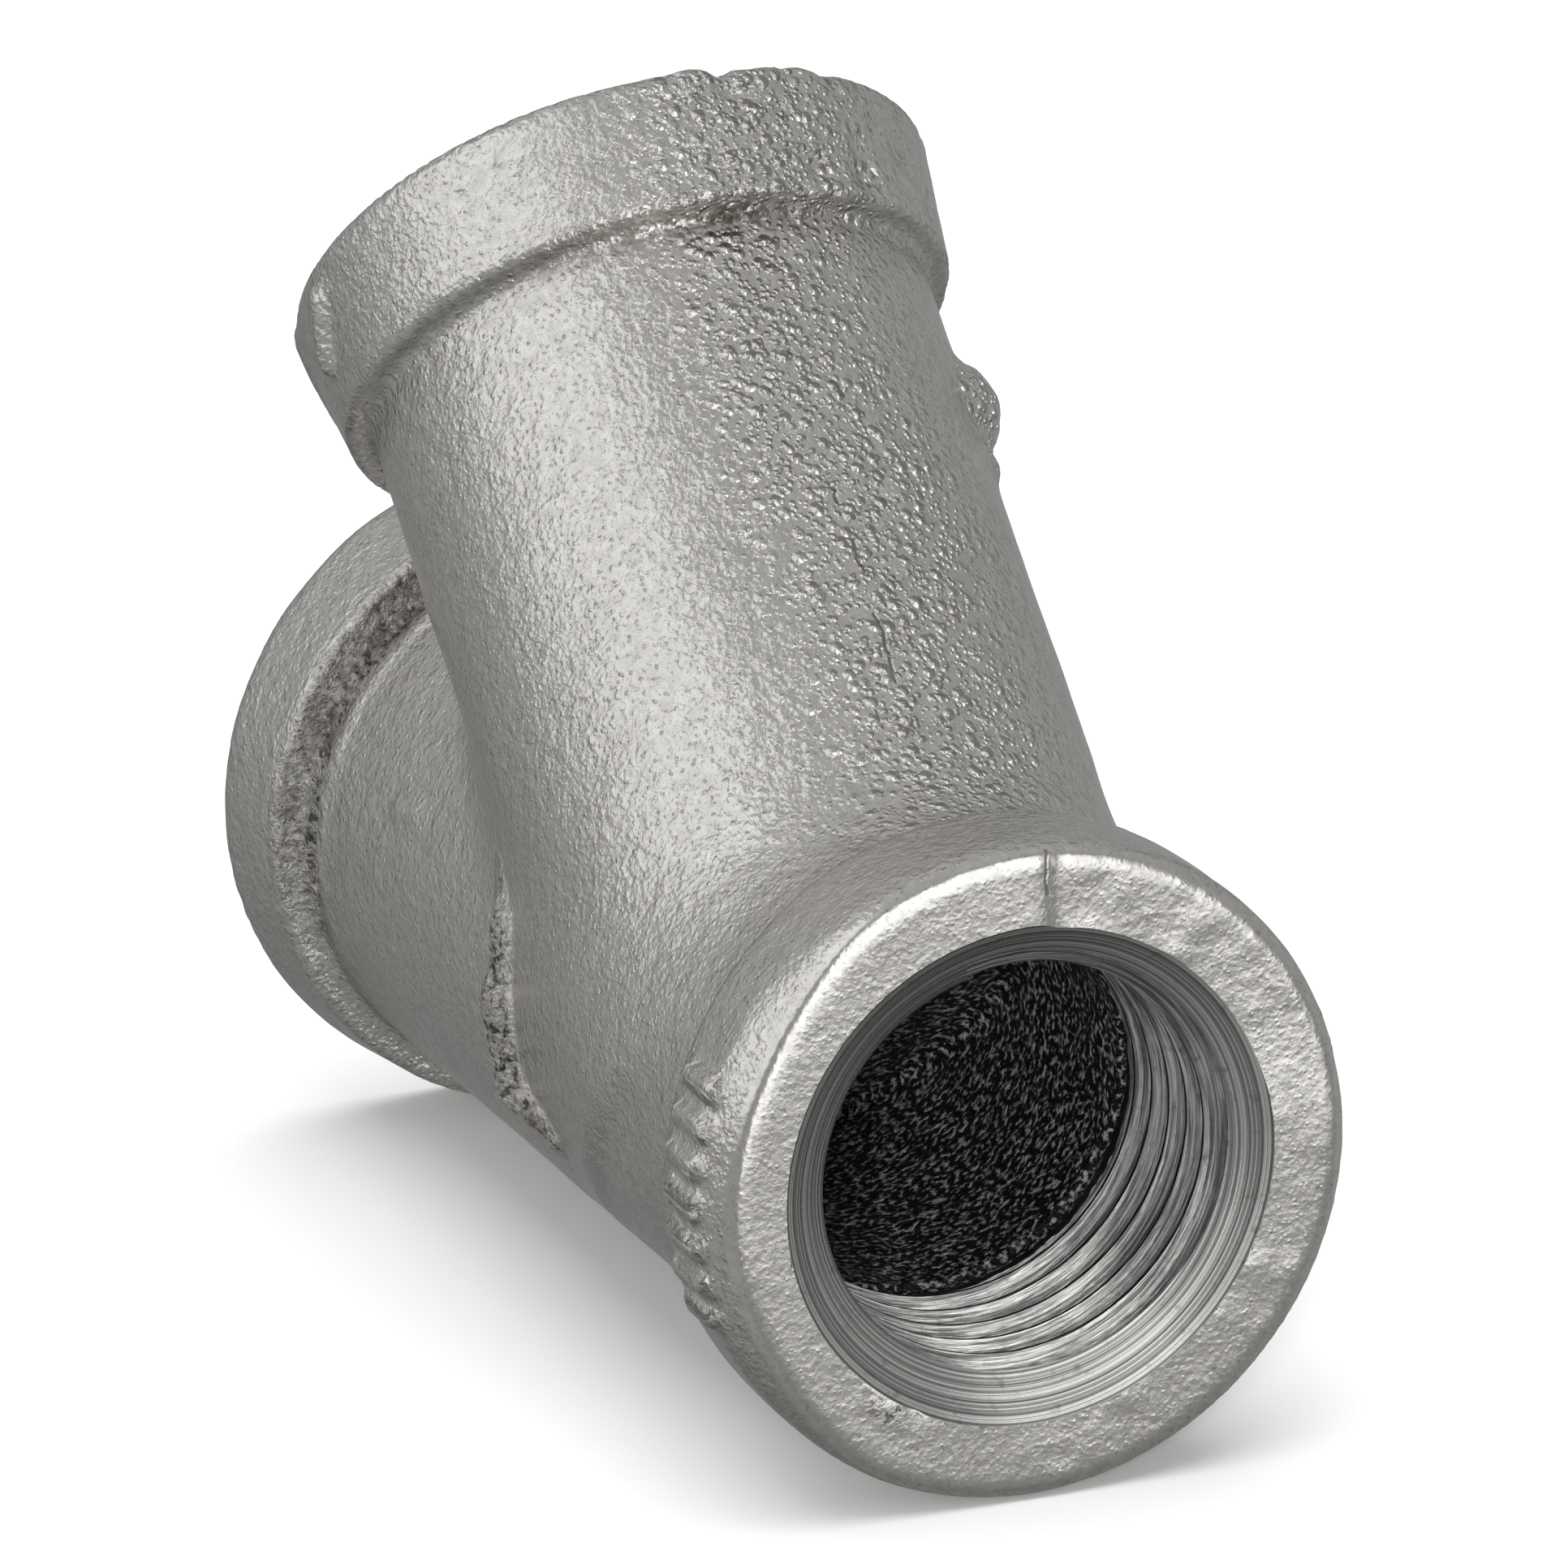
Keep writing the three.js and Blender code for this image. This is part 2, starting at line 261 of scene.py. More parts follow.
def dots(points, size, seed):
    """Round bumps from 0 to 1, about one to each cell of the given size, at random places."""
    scaled = np.asarray(points) / size
    base = np.floor(scaled).astype(np.int64)
    best = np.zeros(len(scaled))
    for offset in np.ndindex(3, 3, 3):
        cell = base + np.array(offset) - 1
        centre = cell + np.stack([0.15 + 0.7 * hashed(cell, seed + k) for k in range(3)], axis=-1)
        radius = 0.22 + 0.36 * hashed(cell, seed + 3)
        away = np.linalg.norm(scaled - centre, axis=-1) / radius
        best = np.maximum(best, np.clip(1 - away * away, 0, 1) * radius / 0.58)
    return best


def smooth_min(a, b, k):
    h = np.clip(0.5 + 0.5 * (b - a) / k, 0, 1)
    return b + (a - b) * h - k * h * (1 - h)


def smooth_max(a, b, k):
    return -smooth_min(-a, -b, k)


def step_up(value, low, high):
    t = np.clip((value - low) / (high - low), 0, 1)
    return t * t * (3 - 2 * t)


def branch_axes(p):
    """Heights along the branch, places across it in its own plane, and sideways places."""
    c, s = math.cos(BRANCH_ANGLE), math.sin(BRANCH_ANGLE)
    return p[..., 1] * c + p[..., 2] * s, -p[..., 1] * s + p[..., 2] * c, p[..., 0]


def band(radial, height, reach, width, inner_r, outer_r, round_inner):
    """Distance to an end band that widens from its inner end towards reach, and goes on past it."""
    slope = (outer_r - inner_r) / width
    side = (radial - outer_r - slope * (height - reach)) / math.hypot(1, slope)
    return smooth_max(side, reach - width - height, round_inner)


def capsule(p, a, b, r):
    a, b = np.array(a), np.array(b)
    along = np.clip(((p - a) @ (b - a)) / ((b - a) @ (b - a)), 0, 1)
    return np.linalg.norm(p - a - along[..., None] * (b - a), axis=-1) - r


def casting_distance(p):
    """Distance in millimetres from the rough casting's surface, below zero in the iron."""
    x, y, z = p[..., 0], p[..., 1], p[..., 2]
    run_radial = np.hypot(x, z)
    along, across, _ = branch_axes(p)
    branch_radial = np.hypot(x, across)

    inlet = band(run_radial, -y, INLET_REACH, 6.3, 15.25, 15.45, 0.6)
    outlet = band(run_radial, y, OUTLET_REACH, 5.7, 14.95, 15.5, 0.45)
    run = smooth_min(run_radial - RUN_R, inlet, 1.3)
    run = smooth_min(run, outlet, 0.9)

    share = np.clip(along / BRANCH_REACH, 0, 1)
    barrel = branch_radial - (BRANCH_ROOT_R + (BRANCH_TOP_R - BRANCH_ROOT_R) * share)
    branch = smooth_max(barrel, -along, 1.0)
    top = band(branch_radial, along, BRANCH_REACH, 6.6, 14.45, 15.2, 0.3)
    branch = smooth_min(branch, top, 0.7)
    outer = smooth_min(run, branch, 2.2)

    for place, r in PADS:
        outer = smooth_min(outer, np.linalg.norm(p - place, axis=-1) - r, 0.6)
    for a, b, r in SCARS:
        outer = smooth_min(outer, capsule(p, a, b, r), 0.6)
    edge_r = INLET_FACE_R - 0.8 * step_up(-x, 7.0, 13.5)
    bevel = (run_radial - edge_r - BEVEL_SLOPE * (y + INLET_REACH)) / math.hypot(1, BEVEL_SLOPE)
    outer = smooth_max(outer, bevel - 40 * step_up(y, -13.0, -8.0), 0.4)
    outer = smooth_max(outer, -y - INLET_REACH, 0.4)
    outer = smooth_max(outer, y - OUTLET_REACH, FACE_EDGE)
    outer = smooth_max(outer, along - BRANCH_REACH, FACE_EDGE)

    hollow = smooth_max(run_radial - CAVITY_R, -y - (INLET_REACH - SOCKET_DEPTH + 0.8), 0.3)
    hollow = smooth_max(hollow, y - (OUTLET_REACH - SOCKET_DEPTH + 0.8), 0.3)
    chamber = smooth_max(branch_radial - CAVITY_R, -along, 0.5)
    chamber = smooth_max(chamber, along - 32.0, 0.3)
    hollow = smooth_min(hollow, chamber, 1.2)
    middle = (PARTITION_UNDER + PARTITION_OVER) / 2
    plate = np.abs(along - middle) - (PARTITION_OVER - PARTITION_UNDER) / 2
    hollow = smooth_max(hollow, -plate, 1.0)
    return smooth_max(outer, -hollow, 0.3)


def on_branch(along, around, r):
    """A point on the branch: around is in degrees from +X, counted towards the branch's front."""
    a = math.radians(around)
    across = r * math.sin(a)
    c, s = math.cos(BRANCH_ANGLE), math.sin(BRANCH_ANGLE)
    return np.array([r * math.cos(a), along * c - across * s, along * s + across * c])


def on_run(height, around, r):
    a = math.radians(around)
    return np.array([r * math.cos(a), height, r * math.sin(a)])


PADS = [
    (on_branch(29.2, 22, 11.75), 2.85),
    (on_branch(26.0, 23, 12.3), 1.35),
]
SCARS = [
    (on_run(15.6, 144.5, 13.3), on_run(14.2, 153, 13.2), 0.5),
    (on_run(14.2, 153, 13.2), on_run(12.6, 163, 13.5), 0.75),
    (on_run(12.6, 163, 13.5), on_run(12.2, 178, 13.6), 0.85),
    (on_run(12.2, 178, 13.6), on_run(11.6, -164, 13.6), 0.95),
    (on_run(11.6, -164, 13.6), on_run(9.0, -157, 13.2), 0.8),
    (on_branch(41.6, 177, 15.05), on_branch(39.2, 184, 14.85), 0.5),
    (on_run(27.2, 160, 13.3), on_run(25.0, 158, 13.3), 0.35),
]
BARS_AROUND = (159, 166, 173, 180, 187, 194, 201)


def surface_net(distance, low, high, cell):
    """Quads round the zero of a distance field, one point to each cell that the surface crosses."""
    axes = [np.arange(low[k], high[k] + cell, cell) for k in range(3)]
    grid = np.stack(np.meshgrid(*axes, indexing="ij"), axis=-1)
    values = np.empty(grid.shape[:3])
    for i in range(grid.shape[0]):
        values[i] = distance(grid[i])
    inside = values < 0
    cells = tuple(n - 1 for n in inside.shape)
    corners = list(np.ndindex(2, 2, 2))

    def corner(array, c):
        return array[c[0]:c[0] + cells[0], c[1]:c[1] + cells[1], c[2]:c[2] + cells[2]]

    count = sum(corner(inside, c).astype(int) for c in corners)
    active = (count > 0) & (count < 8)
    number = -np.ones(cells, np.int64)
    number[active] = np.arange(active.sum())
    where = np.argwhere(active)
    held = [corner(values, c)[active] for c in corners]
    total = np.zeros((len(where), 3))
    crossings = np.zeros(len(where))
    for i, a in enumerate(corners):
        for j, b in enumerate(corners):
            if i < j and sum(abs(p - q) for p, q in zip(a, b)) == 1:
                crossed = (held[i] < 0) != (held[j] < 0)
                share = np.where(crossed, held[i] / np.where(crossed, held[i] - held[j], 1), 0)
                place = np.array(a) + share[:, None] * (np.array(b) - np.array(a))
                total += np.where(crossed[:, None], place, 0)
                crossings += crossed
    points = np.array(low) + (where + total / crossings[:, None]) * cell

    faces = []
    for axis in range(3):
        u, v = (axis + 1) % 3, (axis + 2) % 3
        start = [slice(1, -1)] * 3
        start[axis] = slice(0, -1)
        end = list(start)
        end[axis] = slice(1, None)
        here, there = inside[tuple(start)], inside[tuple(end)]
        edges = np.argwhere(here != there)
        outward = here[tuple(edges.T)]
        edges[:, u] += 1
        edges[:, v] += 1
        ring = []
        for du, dv in ((-1, -1), (0, -1), (0, 0), (-1, 0)):
            cell_index = edges.copy()
            cell_index[:, u] += du
            cell_index[:, v] += dv
            ring.append(number[tuple(cell_index.T)])
        quads = np.stack(ring, axis=1)
        quads[~outward] = quads[~outward][:, ::-1]
        faces.append(quads)
    return points, np.concatenate(faces)


def gradient(distance, points, reach=0.05):
    parts = []
    for k in range(3):
        shift = np.zeros(3)
        shift[k] = reach
        parts.append(distance(points + shift) - distance(points - shift))
    slope = np.stack(parts, axis=-1)
    return slope / np.maximum(np.linalg.norm(slope, axis=-1, keepdims=True), 1e-9)


# ---------------------------------------------------------------- casting

def casting_texture(points):
    """How far the cast skin stands proud, and masks for its material: coarse, brown grime with painted
    shade under the branch band, seam, and torn skin, whose mask also holds painted shade round the bars'
    edges.
    """
    x, y, z = points.T
    along, across, _ = branch_axes(points)
    run_radial = np.hypot(x, z)
    branch_radial = np.hypot(x, across)
    skin = (run_radial > CAVITY_R + 1.2) & ((branch_radial > CAVITY_R + 1.2) | (along < 2))
    skin = skin.astype(float)
    face = step_up(-y, INLET_REACH - 0.7, INLET_REACH - 0.3) * skin

    upper = step_up(across, 0.0, 6.0) * step_up(along, -2.0, 6.0) * skin
    wander = 1.6 * noise(points, 7.0, 31)
    coarse = np.exp(-(((x - 2.2 + wander) / 5.4) ** 2)) * upper
    coarse = np.maximum(coarse, 0.08 * face * step_up(x, SEAM_X, SEAM_X + 0.3))
    for place, r in PADS:
        coarse = np.maximum(coarse, step_up(r + 0.5 - np.linalg.norm(points - place, axis=-1), 0.0, 0.5))
    seam = step_up(z, 8.0, 11.0) * skin * (along < BRANCH_REACH - 6.6)
    seam *= np.where(face > 0.5, 1.2 * (run_radial > 13.0), 0.6 * (along > 9))

    swell = skin * (1 - 0.7 * face)
    rise = 0.020 * lumps(points, 2.2, 40, 3) * swell
    rise += 0.04 * lumps(points, 6.5, 45, 2) * swell
    rise += coarse * (0.20 * dots(points, 1.7, 51) + 0.16 * dots(points, 2.6, 61) - 0.10)
    band_top = step_up(along, BRANCH_REACH - 6.6, BRANCH_REACH - 5.6) * step_up(across, 4, 10) * skin
    rise -= band_top * 0.40 * dots(points, 2.2, 81) * step_up(x, -3.0, 2.0)
    notch = np.exp(-((x - 1.35) / 0.5) ** 2) * step_up(along, BRANCH_REACH - 2.0, BRANCH_REACH)
    rise -= band_top * 0.35 * notch
    rise -= 0.12 * face * step_up(x, SEAM_X - 0.2, SEAM_X + 0.2) * step_up(z, 0.0, 6.0)
    rise += face * 0.04 * step_up(x, SEAM_X, SEAM_X + 0.3) * dots(points, 1.7, 77)

    around = np.degrees(np.arctan2(z, x)) % 360
    off_bar = np.min([np.abs(around - centre) for centre in BARS_AROUND], axis=0)
    bars = step_up(-off_bar, -2.4, -0.9) * step_up(-y, 12.0, 12.5) * step_up(y, -15.9, -15.4) * skin
    rise += 0.42 * bars

    gutter_at = OUTLET_REACH - 6.5
    torn = step_up(-x, 2.0, 7.0) * step_up(z, -7.0, 0.0) * skin
    gutter = np.exp(-((y - gutter_at) / 0.95) ** 2) * (run_radial < 15.0) * torn
    rise -= 0.30 * gutter + 0.45 * gutter * dots(points, 1.7, 91)
    rise += 0.22 * torn * np.exp(-((y - gutter_at + 1.5) / 0.5) ** 2)
    scar = np.zeros(len(points))
    for a, b, r in SCARS[:5]:
        scar = np.maximum(scar, 1 - np.clip(capsule(points, a, b, r) / 0.5, 0, 1))
    rise -= scar * 0.45 * dots(points, 1.6, 95)
    burr = np.exp(-((around - 236) / 6) ** 2 - ((run_radial - 12.2) / 0.6) ** 2) * face
    rise -= burr * 0.3 * dots(points, 1.2, 97)
    rough = np.maximum(np.maximum(gutter, scar), burr)
    rise += (1 - skin) * 0.07 * lumps(points, 1.5, 99, 2)

    # Painted shade: the groove under the branch band is darkened to brown, where shade falls. The brown
    # stain in the torn places is real grime.
    painted_shade_under_band = np.exp(-((along - (BRANCH_REACH - 7.0)) / 0.55) ** 2) * (branch_radial < 14.6)
    dirt_and_shade = painted_shade_under_band * step_up(across, 2, 9) * np.exp(-((x + 1.0) / 6.5) ** 2) * skin
    dirt_and_shade = np.maximum(dirt_and_shade, 0.7 * rough * step_up(noise(points, 1.6, 15), 0.1, 0.6))
    # Painted shade: the sloping edges of the bars are darkened as outlines.
    rough = np.maximum(rough, 3.0 * bars * (1 - bars))
    return rise, coarse, dirt_and_shade, seam, rough


def rough_casting():
    low = np.array([-BODY_SPAN_R - 1.5, -INLET_REACH - 1.5, -BODY_SPAN_R - 1.5])
    high = np.array([BODY_SPAN_R + 2.0, OUTLET_REACH + 1.5, cad_box[1].z / MM + 1.5])
    points, faces = surface_net(casting_distance, low, high, CELL)
    for _ in range(3):
        slope = gradient(casting_distance, points)
        points = points - slope * np.clip(casting_distance(points), -0.2, 0.2)[:, None]
    normals = gradient(casting_distance, points)
    rise, coarse, dirt_and_shade, seam, rough = casting_texture(points)
    points = points + normals * rise[:, None]
    obj = new_object("body_casting", points, faces, smooth_angle=None)
    for name, values in (("coarse", coarse), ("dirt_and_shade", dirt_and_shade), ("seam", seam), ("rough", rough)):
        layer = obj.data.attributes.new(name, "FLOAT", "POINT")
        layer.data.foreach_set("value", values.astype(np.float32))
    return obj


def socket_cutter(reach):
    """The machined space of a pipe socket along +Y: countersunk mouth, taper bore and taper thread."""
    bottom = reach - SOCKET_DEPTH
    start = reach - SOCKET_THREAD_START
    profile = [
        (0, bottom), (SOCKET_END_R, bottom), (SOCKET_CREST_R, start),
        (SOCKET_MOUTH_R + 1.2 * COUNTERSINK_SLOPE, reach + 1.2),
        (0, reach + 1.2),
    ]
    bore = turned("bore", profile, sides=128)
    thread = {"pitch": PIPE_PITCH, "crest": SOCKET_END_R, "root": SOCKET_END_R + 1.25}
    taper = (SOCKET_CREST_R - SOCKET_END_R) / (start - bottom)
    ridge = thread_ridge(thread, bottom - 1.4, start + 0.4, taper=taper, sides=96, half=0.44, flat=0.04)
    return combine(bore, "UNION", ridge)


def branch_cutter():
    """The machined space in the branch end: the retainer's counterbore and parallel thread."""
    low, floor = 31.0, 40.3
    profile = [
        (0, low - 1), (9.32, low - 1), (9.32, floor - 0.8), (10.5, floor), (12.1, floor),
        (12.1, BRANCH_REACH - 0.3), (12.7, BRANCH_REACH + 0.3), (12.7, BRANCH_REACH + 1),
        (0, BRANCH_REACH + 1),
    ]
    bore = turned("bore", profile, sides=128)
    ridge = thread_ridge(RETAINER_THREAD, low - 1.2, floor - 0.2, sides=96)
    return combine(bore, "UNION", ridge)


def seat_cutter():
    """The screen's bored seat in the partition."""
    profile = [
        (0, PARTITION_UNDER - 2), (SEAT_HOLE_R, PARTITION_UNDER - 2), (SEAT_HOLE_R, SEAT_FLOOR),
        (SEAT_R, SEAT_FLOOR), (SEAT_R, PARTITION_OVER + 0.3), (0, PARTITION_OVER + 0.3),
    ]
    return turned("seat", profile, sides=96)


def face_centres(mesh):
    centres = np.empty(len(mesh.polygons) * 3)
    mesh.polygons.foreach_get("center", centres)
    return centres.reshape(-1, 3) / MM


def crease_machining(mesh):
    """Keeps the edges of machined faces crisp, and the rough skin's smooth."""
    normals = np.empty(len(mesh.polygons) * 3)
    mesh.polygons.foreach_get("normal", normals)
    normals = normals.reshape(-1, 3)
    kind = np.empty(len(mesh.polygons), np.int32)
    mesh.polygons.foreach_get("material_index", kind)
    corner_edge = np.empty(len(mesh.loops), np.int32)
    mesh.loops.foreach_get("edge_index", corner_edge)
    sizes = np.empty(len(mesh.polygons), np.int32)
    mesh.polygons.foreach_get("loop_total", sizes)
    corner_face = np.repeat(np.arange(len(sizes)), sizes)
    order = np.argsort(corner_edge, kind="stable")
    pairs = corner_face[order].reshape(-1, 2)
    cosine = np.einsum("ij,ij->i", normals[pairs[:, 0]], normals[pairs[:, 1]])
    turned_face = np.isin(kind[pairs], (1, 3))
    limit = np.where(turned_face.all(axis=1), math.cos(math.radians(12)), math.cos(math.radians(50)))
    limit = np.where(turned_face.any(axis=1) & ~turned_face.all(axis=1), math.cos(math.radians(5)), limit)
    sharp = mesh.attributes.get("sharp_edge") or mesh.attributes.new("sharp_edge", "BOOLEAN", "EDGE")
    sharp.data.foreach_set("value", cosine < limit)
    mesh.update()


def body_casting(materials):
    obj = rough_casting()
    inlet = lean(socket_cutter(INLET_REACH), Matrix.Rotation(math.pi, 4, "Z"))
    outlet = socket_cutter(OUTLET_REACH)
    combine(obj, "DIFFERENCE", inlet, outlet, lean(branch_cutter()), lean(seat_cutter()))

    mesh = obj.data
    mesh.materials.clear()
    for material in materials:
        mesh.materials.append(material)
    centres = face_centres(mesh)
    x, y, z = centres.T
    along, across, _ = branch_axes(centres)
    run_radial = np.hypot(x, z)
    branch_radial = np.hypot(x, across)
    kind = np.zeros(len(centres), np.int32)
    cavity = (run_radial < 11) & (y > -INLET_REACH + SOCKET_DEPTH) & (y < OUTLET_REACH - SOCKET_DEPTH)
    cavity |= (branch_radial < 11) & (along > 0) & (along < 31)
    kind[cavity] = 2
    socket_cut = np.zeros(len(centres), bool)
    for past_face in (-y - INLET_REACH, y - OUTLET_REACH):
        off_cone = run_radial - SOCKET_MOUTH_R - COUNTERSINK_SLOPE * past_face
        socket_cut |= (np.abs(off_cone) < 0.03) & (np.abs(past_face) < SOCKET_THREAD_START + 0.1)
        socket_cut |= (run_radial < 11) & (past_face > -SOCKET_DEPTH - 0.02) & (past_face < -0.9)
    branch_cut = (branch_radial < 12.5) & (along > 30.95) & (along < BRANCH_REACH + 0.2)
    seat = (along > PARTITION_UNDER - 0.5) & (along < PARTITION_OVER + 0.1)
    seat &= (branch_radial > SEAT_HOLE_R - 0.05) & (branch_radial < SEAT_R + 0.05)
    seat &= (branch_radial < SEAT_HOLE_R + 0.05) | (along > SEAT_FLOOR - 0.05)
    kind[socket_cut] = 1
    kind[branch_cut | seat] = 3
    mesh.polygons.foreach_set("material_index", kind)
    mesh.shade_smooth()
    crease_machining(mesh)
    return obj


# ---------------------------------------------------------------- screen

def around_y(radius, angle, height):
    return (radius * math.sin(angle), height, radius * math.cos(angle))


def perforated_tube(name, radius, wall, low, high, columns, rows, hole_r):
    """A perforated sheet rolled into a tube. Each hole has a six-sided cell, and the rows are staggered."""
    half_turn = math.pi / columns
    plain = 1.8
    third = (high - low - 2 * plain) / (3 * rows + 1)
    points, numbers, faces = [], {}, []

    def numbered(i, j, r, height):
        key = (i % (2 * columns), j, r)
        if key not in numbers:
            numbers[key] = len(points)
            points.append(around_y(r, i * half_turn, height))
        return numbers[key]

    def patch(corners):
        faces.append([outer for outer, _ in corners])
        faces.append([inner for _, inner in reversed(corners)])

    def both(i, j):
        height = low + plain + j * third
        return numbered(i, j, radius, height), numbered(i, j, radius - wall, height)

    def end_pair(i, end, height):
        return numbered(i, end, radius, height), numbered(i, end, radius - wall, height)

    steps = ((1, -1), (1, 1), (0, 2), (-1, 1), (-1, -1), (0, -2))
    for row in range(rows):
        for column in range(columns):
            ci, cj = 2 * column + row % 2, 3 * row + 2
            rim = []
            for k in range(12):
                t = math.radians(30 * k - 30)
                angle = ci * half_turn + hole_r / radius * math.cos(t)
                height = low + plain + cj * third + hole_r * math.sin(t)
                rim.append((len(points), len(points) + 1))
                points.extend([around_y(radius, angle, height), around_y(radius - wall, angle, height)])
            cell = [both(ci + di, cj + dj) for di, dj in steps]
            for k in range(6):
                here, after = cell[k], cell[(k + 1) % 6]
                start, middle, end = rim[2 * k], rim[2 * k + 1], rim[(2 * k + 2) % 12]
                patch([start, here, middle])
                patch([middle, here, after])
                patch([middle, after, end])
            for k in range(12):
                (a, b), (c, d) = rim[k], rim[(k + 1) % 12]
                faces.append([a, c, d, b])
    last = 3 * rows + 1
    shift = (rows - 1) % 2
    for i in range(2 * columns):
        below = [both(i, 0 if i % 2 == 0 else 1), both(i + 1, 0 if i % 2 else 1)]
        above = [both(i, last if (i - shift) % 2 == 0 else last - 1),
                 both(i + 1, last if (i + 1 - shift) % 2 == 0 else last - 1)]
        foot = [end_pair(i, "foot", low), end_pair(i + 1, "foot", low)]
        head = [end_pair(i, "head", high), end_pair(i + 1, "head", high)]
        patch([foot[0], foot[1], below[1], below[0]])
        patch([above[0], above[1], head[1], head[0]])
        faces.append([foot[0][0], foot[0][1], foot[1][1], foot[1][0]])
        faces.append([head[0][0], head[1][0], head[1][1], head[0][1]])
    return facing_out(new_object(name, points, faces))


def wire_sleeve(name, radius, low, high, wire_r, lengthways, hoops):
    """Crossed wires: straight ones along the sleeve, and hoops that lie on their outsides."""
    sides, steps = 6, 96
    points, faces = [], []
    for i in range(lengthways):
        angle = TAU * i / lengthways
        first = len(points)
        for height in (low, high):
            for k in range(sides):
                t = TAU * k / sides
                r = radius - wire_r + wire_r * math.cos(t)
                points.append(around_y(r, angle + wire_r * math.sin(t) / radius, height))
        faces.append([first + k for k in reversed(range(sides))])
        faces.append([first + sides + k for k in range(sides)])
        for k in range(sides):
            j = (k + 1) % sides
            faces.append([first + k, first + j, first + sides + j, first + sides + k])
    for i in range(hoops):
        height = low + (i + 0.5) * (high - low) / hoops
        first = len(points)
        for step in range(steps):
            for k in range(sides):
                t = TAU * k / sides
                points.append(around_y(radius + wire_r + wire_r * math.cos(t), TAU * step / steps,
                                       height + wire_r * math.sin(t)))
        for step in range(steps):
            for k in range(sides):
                a, b = first + step * sides + k, first + step * sides + (k + 1) % sides
                c = first + (step + 1) % steps * sides + (k + 1) % sides
                d = first + (step + 1) % steps * sides + k
                faces.append([a, b, c, d])
    return facing_out(new_object(name, points, faces))


def ferrule(name, radius, end, direction):
    """A pressed ring that wraps the screen's end: a skirt outside it and a lip turned in over it."""
    skirt = end + direction * 2.2
    lip = end - direction * 0.5
    turn = 0.35
    profile = [
        (7.45, skirt), (radius - 0.1, skirt), (radius, skirt - direction * 0.1),
        (radius, lip + direction * turn), (radius - 0.3 * turn, lip + direction * 0.3 * turn),
        (radius - turn, lip), (6.62, lip), (6.55, lip + direction * 0.07),
        (6.55, end - direction * 0.08), (7.45, end - direction * 0.08),
    ]
    return turned(name, profile, sides=96)


# ---------------------------------------------------------------- retainer and blow-off plug

def male_ridge(thread, low, high, limit):
    """The ridge of a male thread that fits a hole's thread, cut square at both ends."""
    ridge = thread_ridge(thread, low - thread["pitch"], high + thread["pitch"], grow=-THREAD_GAP, sides=96)
    slab = turned("slab", [(0, low), (limit, low), (limit, high), (0, high)])
    return combine(ridge, "INTERSECT", slab)


def retainer():
    low, floor, flange, face = 31.0, 40.3, 41.2, 43.1
    core = RETAINER_THREAD["crest"] - THREAD_GAP
    profile = [
        (8.1, low), (core - 0.5, low), (core, low + 0.6), (core, flange),
        (11.75, flange), (11.85, flange + 0.1), (11.85, face - 0.3), (11.55, face),
        (8.05, face), (7.9, face - 0.15), (7.9, 40.9), (6.7, 40.9), (5.72, 40.2),
        (5.72, 34.4), (8.1, 34.4),
    ]
    piece = turned("retainer_bush", profile, sides=128)
    combine(piece, "UNION", male_ridge(RETAINER_THREAD, low + 0.5, floor - 0.1, 11))
    tools = [thread_ridge(PLUG_THREAD, 33.2, 40.6, sides=72)]
    for i in range(4):
        hole = [(0, 41.35), (0.95, 41.6), (0.95, face - 0.2), (1.25, face + 0.1), (0, face + 0.1)]
        drill = turned("drill", hole, sides=32)
        drill.data.transform(Matrix.Rotation(TAU * i / 4, 4, "Y") @ Matrix.Translation((9.8 * MM, 0, 0)))
        tools.append(drill)
    return combine(piece, "DIFFERENCE", *tools)


def blow_off_plug():
    low, seat, flange, face = 35.2, 40.9, 41.6, 42.9
    core = PLUG_THREAD["crest"] - THREAD_GAP
    profile = [
        (0, low), (core - 0.5, low), (core, low + 0.5), (core, flange), (7.55, flange),
        (7.65, flange + 0.1), (7.65, face - 0.35), (7.3, face), (0, face),
    ]
    piece = turned("blow_off_bung", profile, sides=96)
    combine(piece, "UNION", male_ridge(PLUG_THREAD, low + 0.4, seat - 0.1, 7))
    hexagon = 6 / math.sqrt(3)
    key_hole = [(0, face - 4.9), (hexagon, face - 4.3), (hexagon, face + 1), (0, face + 1)]
    socket = turned("socket", key_hole, sides=6)
    cone = [(0, face - 0.5), (hexagon - 0.5, face - 0.5), (hexagon + 0.5, face + 0.5), (0, face + 0.5)]
    mouth = turned("mouth", cone, sides=48)
    return combine(piece, "DIFFERENCE", socket, mouth)


def flat_ring(name, hole_r, radius, low, high, edge):
    profile = [
        (hole_r, low + edge), (hole_r + edge, low), (radius - edge, low), (radius, low + edge),
        (radius, high - edge), (radius - edge, high), (hole_r + edge, high), (hole_r, high - edge),
    ]
    return turned(name, profile, sides=96)


# ---------------------------------------------------------------- materials

